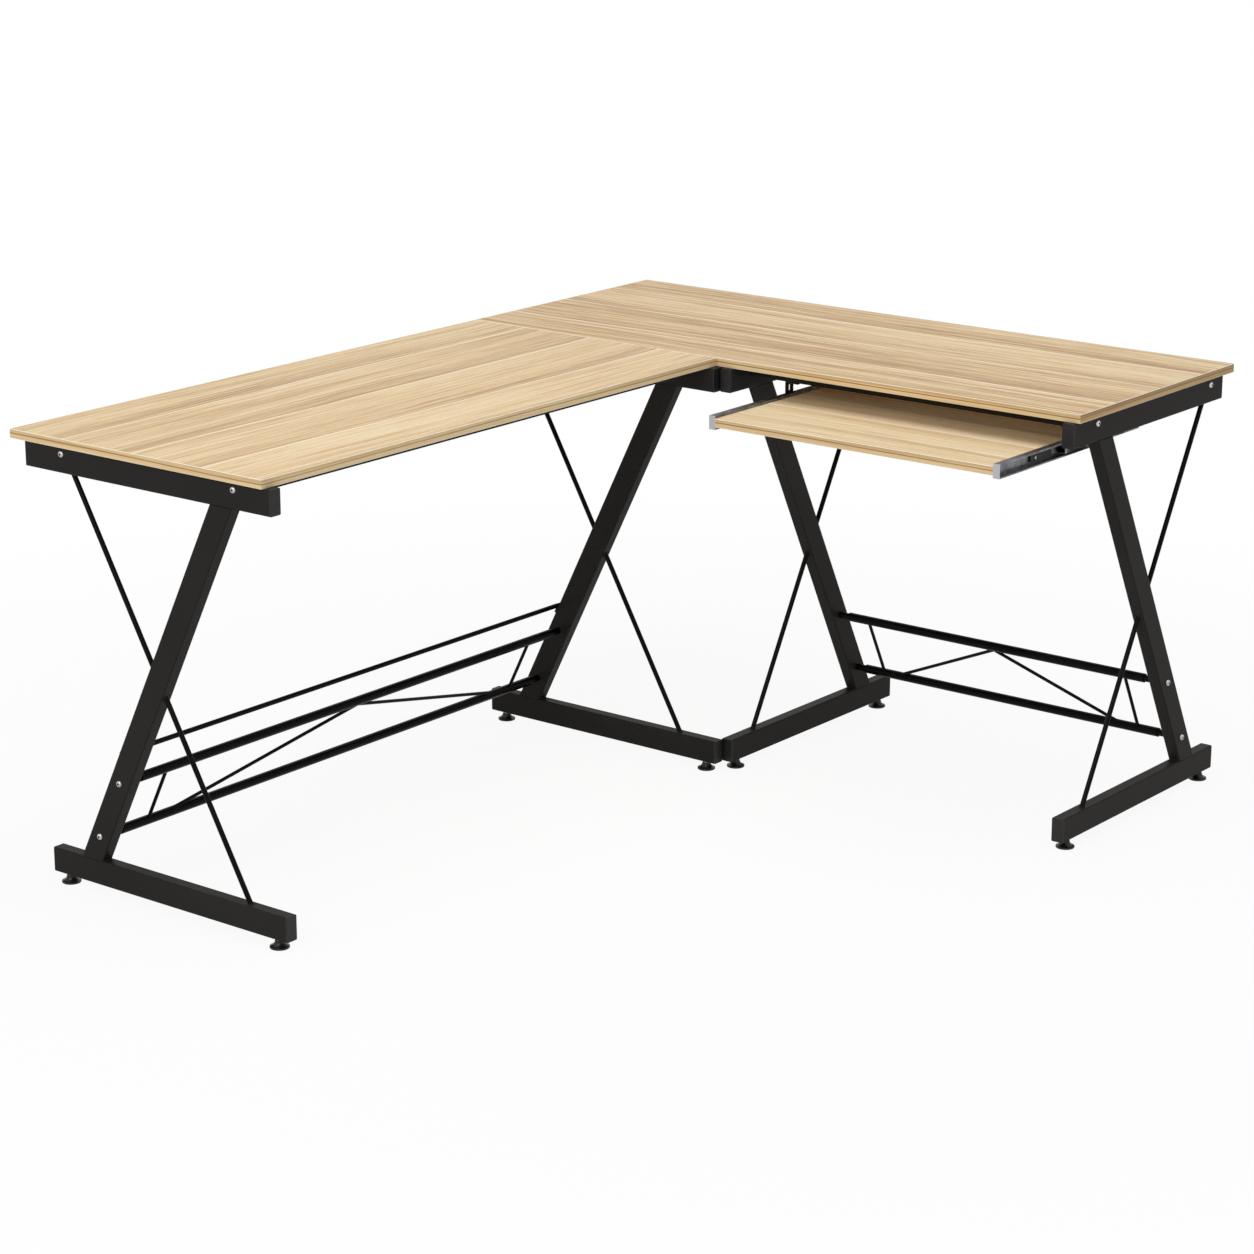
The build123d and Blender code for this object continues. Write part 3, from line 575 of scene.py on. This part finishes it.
# Table tops
# Two particle boards faced with a printed oak decor under a matt melamine film.
# The right board's grain runs along the wall, the left board's towards the room.
oak_light = "f3dfb9"
oak_base = "e6ca9e"
oak_base_place = 0.42
oak_dark = "b18c62"
oak_deep = "8a6844"
oak_pale = "fff6e2"
oak_roughness = (0.42, 0.6)
oak_gloss = 0.2
oak_depth = 0.00006
plank_line = 0.0036
plank_wave = 0.03
plank_shift = 3.7
plank_seed = 1.9
plank_tone = 0.18
swirl = 0.05
sway_size = (0.8, 0.3, 1.0)
broad_size = (0.9, 0.045, 1.0)
broad_weight = 0.9
streak_size = (0.55, 0.0065, 1.0)
streak_weight = 1.7
vein_size = (0.45, 0.0035, 1.0)
vein_edge = (0.55, 0.7)
vein_weight = 0.45
vein_dull_share = 0.4
fibre_size = (0.09, 0.0014, 1.0)
fibre_weight = 1.2
pore_size = (0.018, 0.0006, 1.0)
pore_edge = (0.58, 0.7)
pore_weight = 0.35
pore_sink = 0.6
line_edge = (0.6, 1.1)
line_size = (0.25, 2.0, 1.0)
line_fade = (0.2, 0.5)
line_weight = 0.9
lee_dark = 0.26
lee_dark_reach = (0.62, 0.98)
lee_light = 0.06
lee_light_reach = (0.02, 0.25)


def oak_decor(name, along, back, forward, first_line, pitch, seed, depth, contrast):
    """Oak print with its grain along X (0) or Y (1) and pale plank lines counted from the back edge."""
    material, place = new_material(name)
    axes = place.axes()
    run = axes[along]
    across = (axes[1 - along] - back) * forward
    sheet = place.node("CombineXYZ", sockets={0: run, 1: across, 2: seed})
    sway = sheet.stretched(sway_size).noise(1.0) - 0.5
    lane = (across - first_line + sway * plank_wave) / pitch
    plank = lane.maths("FLOOR")
    inside = lane - plank
    shifted = {0: run + plank * plank_shift, 1: across + sway * swirl, 2: plank * plank_seed + seed}
    drift = place.node("CombineXYZ", sockets=shifted)
    broad = drift.stretched(broad_size).noise(1.0) - 0.5
    streak = drift.stretched(streak_size).noise(1.0, detail=3.0, roughness=0.6) - 0.5
    vein = drift.stretched(vein_size).noise(1.0, detail=3.0, roughness=0.65, seed=9.0)
    fibre = drift.stretched(fibre_size).noise(1.0, roughness=0.6)
    pore = drift.stretched(pore_size).noise(1.0, detail=1.0).step(*pore_edge)
    chance = place.node("TexWhiteNoise", {"noise_dimensions": "1D"}, {"W": plank + seed}) - 0.5
    edge = [plank_line / pitch * share for share in line_edge]
    strength = sheet.stretched(line_size).noise(1.0, detail=1.0, seed=5.0).step(*line_fade)
    line = (1 - inside.step(*edge)) * strength
    lee = inside.step(*lee_dark_reach) * lee_dark - (1 - inside.step(*lee_light_reach)) * lee_light
    figure = broad * broad_weight + streak * streak_weight + (fibre - 0.5) * fibre_weight
    figure = figure + chance * plank_tone + lee
    tone = depth + (figure + vein.step(*vein_edge) * vein_weight) * contrast
    stops = [(0.0, linear(oak_light)), (oak_base_place, linear(oak_base)), (1.0, linear(oak_dark))]
    body = place.node("ValToRGB", {"stops": stops}, {0: tone})
    grain = (pore * pore_weight).blend(body, linear(oak_deep))
    sockets = {
        "Base Color": (line * line_weight).blend(grain, linear(oak_pale)),
        "Roughness": fibre.mixed(vein, vein_dull_share).between(*oak_roughness),
        "Specular IOR Level": oak_gloss,
    }
    return close_material(material, sockets, height=fibre - pore * pore_sink, depth=oak_depth)


right_low, right_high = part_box("right_top_edge_band")
left_low, left_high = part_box("left_top_edge_band")
right_decor = oak_decor(
    "oak_decor_right_wing",
    along=0,
    back=right_high.y,
    forward=-1.0,
    first_line=0.110,
    pitch=0.1425,
    seed=1.0,
    depth=0.5,
    contrast=1.3,
)
left_decor = oak_decor(
    "oak_decor_left_wing",
    along=1,
    back=left_low.x,
    forward=1.0,
    first_line=0.117,
    pitch=0.153,
    seed=6.0,
    depth=0.4,
    contrast=1.0,
)
dress(right_decor, "right_top_board")
dress(left_decor, "left_top_board")

# Edge bands
# A strip of the same oak print glued round each board, with its grain along the edge.
# Its arrises are trimmed round, and a pale line of painted highlight runs along them.
band_light = "f5dcae"
band_base = "e6c592"
band_base_place = 0.4
band_dark = "ab8352"
band_roughness = (0.4, 0.55)
band_gloss = 0.25
band_depth = 0.00005
band_streak_size = (0.35, 0.0035, 1.0)
band_streak_weight = 1.5
band_fibre_size = (0.05, 0.0008, 1.0)
band_fibre_weight = 0.5
band_sway_size = (0.5, 1.0, 1.0)
band_sway = 0.006
corner_turn = (0.4, 0.6)
corner_shift = 3.0
grain_line_edge = (0.00048, 0.00156)
grain_line_level = 0.55
grain_line_weight = 0.75
upper_edge = (0.0006, 0.0036)
upper_weight = 0.3
# Pale lines of painted highlight along the top and bottom arrises, stronger at the top.
arris_width = 0.0013
arris_fade = 0.00052
top_arris_highlight = 0.95
bottom_arris_highlight = 0.5


def oak_band(name, low, high, seed, x_tone_and_shade, y_tone_and_shade):
    """The print along each edge, with painted shade and light set apart for sides facing X and sides facing
    Y.
    """
    material, place = new_material(name)
    x, y, z = place.axes()
    facing = place.node("NewGeometry", output=1).axes()[0]
    side = facing.maths("ABSOLUTE").step(*corner_turn)
    run = side.node("Mix", {"data_type": "FLOAT"}, {"Factor": side, 2: x, 3: y})
    strip = place.node("CombineXYZ", sockets={0: run, 1: z, 2: side * corner_shift + seed})
    streak = strip.stretched(band_streak_size).noise(1.0, detail=3.0, roughness=0.6) - 0.5
    fibre = strip.stretched(band_fibre_size).noise(1.0)
    sway = strip.stretched(band_sway_size).noise(1.0, detail=1.0, seed=3.0) - 0.5
    line_level = low.z * (1 - grain_line_level) + high.z * grain_line_level
    middle = z - line_level + sway * band_sway
    vein = 1 - middle.maths("ABSOLUTE").step(*grain_line_edge)
    upper = middle.step(*upper_edge)
    figure = streak * band_streak_weight + (fibre - 0.5) * band_fibre_weight
    # Each side's tone is set by which way it faces, and holds painted shade and light as well as the print's
    # own tone.
    tone = side.between(y_tone_and_shade, x_tone_and_shade) + figure + vein * grain_line_weight + upper * upper_weight
    stops = [(0.0, linear(band_light)), (band_base_place, linear(band_base)), (1.0, linear(band_dark))]
    body = place.node("ValToRGB", {"stops": stops}, {0: tone})
    # Painted highlight: a pale line along the top arris and a fainter one along the bottom.
    top = (z - (high.z - arris_width)).step(0.0, arris_fade)
    bottom = ((low.z + arris_width) - z).step(0.0, arris_fade)
    arris_highlight = top * top_arris_highlight + bottom * bottom_arris_highlight
    sockets = {
        "Base Color": arris_highlight.blend(body, linear(oak_pale)),
        "Roughness": fibre.between(*band_roughness),
        "Specular IOR Level": band_gloss,
    }
    return close_material(material, sockets, height=fibre, depth=band_depth)


# Painted shade darkens the right board's ends facing X; painted light brightens the left board's edges
# facing X.
right_band = oak_band("oak_band_right_board", right_low, right_high, seed=1.0, x_tone_and_shade=0.6, y_tone_and_shade=0.2)
left_band = oak_band("oak_band_left_board", left_low, left_high, seed=4.0, x_tone_and_shade=0.0, y_tone_and_shade=0.24)
dress(right_band, "right_top_edge_band")
dress(left_band, "left_top_edge_band")

# Keyboard tray
# A shelf of the same faced board with its own edge band, screwed to a slide at each end.
# Its grain runs along its length, like the board above it.
tray_low, tray_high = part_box("tray_edge_band")
tray_decor = oak_decor(
    "oak_decor_tray",
    along=0,
    back=tray_low.y,
    forward=1.0,
    first_line=0.065,
    pitch=0.085,
    seed=11.0,
    depth=0.2,
    contrast=1.1,
)
# The tray's ends facing X take a little painted shade over its sides facing Y.
tray_band = oak_band("oak_band_tray", tray_low, tray_high, seed=8.0, x_tone_and_shade=0.34, y_tone_and_shade=0.3)
dress(tray_decor, "tray_board")
dress(tray_band, "tray_edge_band")

# Ball slides
# Roll-formed channels and rails of galvanised steel, with balls in cages between them.
# The bare ends shine where the strip was cut, and each fixed rail's end is wrapped by a bright stop clip.
slide_dark = "5c5e60"
slide_light = "8b8e91"
slide_grain = (0.0004, 0.05, 0.0004)
slide_roughness = (0.28, 0.42)
ball_dark = "b4b7ba"
ball_light = "d4d6d9"
ball_grain = (0.002, 0.002, 0.002)
ball_roughness = (0.08, 0.16)
clip_dark = "c4c7ca"
clip_light = "e2e4e6"
clip_grain = (0.0004, 0.01, 0.0004)
clip_roughness = (0.2, 0.34)
clip_wall = 0.0007
clip_length = 0.0046
clip_lead = 0.0004
clip_return = 0.0026
clip_bend = 0.0012
bend_steps = 5
rail_lip = 0.0012


def stop_clip(side):
    """A strip bent round the outer web and both flanges of a fixed rail, hooked over its lips."""
    low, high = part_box(f"{side}_slide_rail")
    outward = -1.0 if side == "left" else 1.0
    web = (low if outward < 0 else high).x
    inner = web - outward * (high.x - low.x - clip_return)
    level = (low.z + high.z) / 2
    half_height = (high.z - low.z) / 2 - rail_lip
    shape = bmesh.new()
    rings = []
    for wall in (0.0, clip_wall):
        bend = clip_bend + wall
        reach = half_height + wall
        line = [Vector((inner, level + reach))]
        for turn, centre in ((90, half_height - clip_bend), (0, clip_bend - half_height)):
            for k in range(bend_steps + 1):
                angle = math.radians(turn - 90 * k / bend_steps)
                x = web - outward * clip_bend + outward * bend * math.cos(angle)
                line.append(Vector((x, level + centre + bend * math.sin(angle))))
        line.append(Vector((inner, level - reach)))
        rings.append(line)
    front = low.y - clip_lead
    corners = []
    for y in (front, front + clip_length):
        corners.append([[shape.verts.new((point.x, y, point.y)) for point in line] for line in rings])
    (front_in, front_out), (back_in, back_out) = corners
    for k in range(len(front_in) - 1):
        shape.faces.new((front_in[k], front_in[k + 1], front_out[k + 1], front_out[k]))
        shape.faces.new((back_in[k], back_out[k], back_out[k + 1], back_in[k + 1]))
        shape.faces.new((front_out[k], front_out[k + 1], back_out[k + 1], back_out[k]))
        shape.faces.new((front_in[k], back_in[k], back_in[k + 1], front_in[k + 1]))
    for k in (0, -1):
        shape.faces.new((front_in[k], front_out[k], back_out[k], back_in[k]))
    return shape


channel_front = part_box("left_tray_channel")[0].y
rail_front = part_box("left_slide_rail")[0].y
slide_zinc = (slide_dark, slide_light, slide_grain, slide_roughness)
channel_zinc = zinc_plate("galvanised_channel", *slide_zinc, bright_end=channel_front)
rail_zinc = zinc_plate("galvanised_rail", *slide_zinc, bright_end=rail_front)
dress(channel_zinc, "left_tray_channel", "right_tray_channel")
dress(rail_zinc, "left_slide_rail", "right_slide_rail", "ball_cages")
dress(zinc_plate("polished_ball", ball_dark, ball_light, ball_grain, ball_roughness), "slide_balls")
clip_steel = zinc_plate("bright_stop_clip", clip_dark, clip_light, clip_grain, clip_roughness)
for side in ("left", "right"):
    finished_piece(f"{side}_stop_clip", stop_clip(side), clip_steel, "frame", smooth=False)

# Stop rollers
# A small white nylon wheel on each stop holds the tray in its open place.
# It is turned from rod and left bare, so its white is slightly cloudy.
roller_white = "f2f1ec"
roller_shade = "d9d7cf"
roller_roughness = (0.35, 0.5)
roller_edge = (0.3, 0.7)
roller_cloud = 0.002
roller_depth = 0.00003


def nylon():
    """Cloudy white nylon."""
    material, place = new_material("white_nylon")
    cloud = place.noise(roller_cloud)
    sockets = {
        "Base Color": cloud.step(*roller_edge).blend(linear(roller_shade), linear(roller_white)),
        "Roughness": cloud.between(*roller_roughness),
    }
    return close_material(material, sockets, height=cloud, depth=roller_depth)


dress(nylon(), "stop_rollers")

# Studio floor
# A sheet of plain white paper under the feet, wide enough to reach the horizon.
# It shows white to the camera, and keeps a faint shadow round the desk.
floor_half = 40.0
floor_white = "fafafa"
floor_shade = "f6f6f5"
floor_cloud = 1.5
floor_shadow_share = 0.08
floor_shadow_reach = (1.1, 2.6)
white = (1.0, 1.0, 1.0, 1.0)


def seen_share(start):
    """1 for rays that the camera sees, also by gloss or glass, and 0 for rays that light the desk."""
    rays = start.node("LightPath").socket.node.outputs
    kinds = ("Is Camera Ray", "Is Glossy Ray", "Is Transmission Ray")
    camera_ray, glossy_ray, glass_ray = (Shade(start.tree, rays[kind]) for kind in kinds)
    return camera_ray.maths("MAXIMUM", glossy_ray).maths("MAXIMUM", glass_ray)


def white_floor():
    """Paper that takes a shadow, under a white glow that only the camera's rays see."""
    material, place = new_material("white_floor")
    tint = place.noise(floor_cloud).blend(linear(floor_shade), linear(floor_white))
    paper = place.node("BsdfDiffuse", sockets={"Color": tint})
    glow = place.node("Emission", sockets={"Color": white, "Strength": 1.0})
    radius = place.node("VectorMath", {"operation": "LENGTH"}, {0: place}, output=1)
    shadow = (1 - radius.step(*floor_shadow_reach)) * floor_shadow_share
    mix = {0: seen_share(place) * (1 - shadow), 1: paper, 2: glow}
    place.node("OutputMaterial", sockets={"Surface": place.node("MixShader", sockets=mix)})
    return material


floor_mesh = bpy.data.meshes.new("studio_floor")
floor_corners = [(x, y, cad_box[0][2]) for x in (-floor_half, floor_half) for y in (-floor_half, floor_half)]
floor_mesh.from_pydata(floor_corners, [], [(0, 2, 3, 1)])
floor_mesh.materials.append(white_floor())
floor = bpy.data.objects.new("studio_floor", floor_mesh)
bpy.context.scene.collection.objects.link(floor)

# Surround and lamps
# A white room round the desk gives an even light, and shows white behind it.
# One broad lamp hangs above the desk and a second stands in front of it.
surround_strength = 0.36
world = bpy.data.worlds.new("white_surround")
bpy.context.scene.world = world
world.use_nodes = True
world.node_tree.nodes.clear()
room = Shade(world.node_tree)
room_strength = seen_share(room).between(surround_strength, 1.0)
walls = room.node("Background", sockets={"Color": white, "Strength": room_strength})
room.node("OutputWorld", sockets={"Surface": walls})


def hang_lamp(name, spot, target, size, power):
    """A square lamp of the given width in metres and power in watts, turned towards a target."""
    lamp_data = bpy.data.lights.new(name, "AREA")
    lamp_data.size = size
    lamp_data.energy = power
    lamp = bpy.data.objects.new(name, lamp_data)
    lamp.location = spot
    lamp.rotation_euler = (target - spot).to_track_quat("-Z", "Y").to_euler()
    bpy.context.scene.collection.objects.link(lamp)


hang_lamp("key_lamp", Vector((0.4, 0.0, 4.1)), Vector((0.1, 0.0, 0.75)), size=2.4, power=62.0)
hang_lamp("fill_lamp", Vector((0.2, -4.0, 2.9)), Vector((-0.1, 0.0, 0.5)), size=2.2, power=62.0)

# Camera
# It stands in front of the open side of the L, a little above the desk, with a long lens.
# Its place was solved from the corners of the boards and the ends of the rails.
camera_place = (3.3731, -4.3450, 1.9589)
camera_down = 16.299
camera_turn = 38.182
camera_lens = 97.74
camera_sensor = 36.0
camera_data = bpy.data.cameras.new("photo_camera")
camera_data.sensor_width = camera_sensor
camera_data.lens = camera_lens
camera = bpy.data.objects.new("photo_camera", camera_data)
camera.location = camera_place
camera.rotation_euler = (math.radians(90 - camera_down), 0.0, math.radians(camera_turn))
bpy.context.scene.collection.objects.link(camera)
bpy.context.scene.camera = camera
bpy.context.scene.view_settings.view_transform = "Standard"
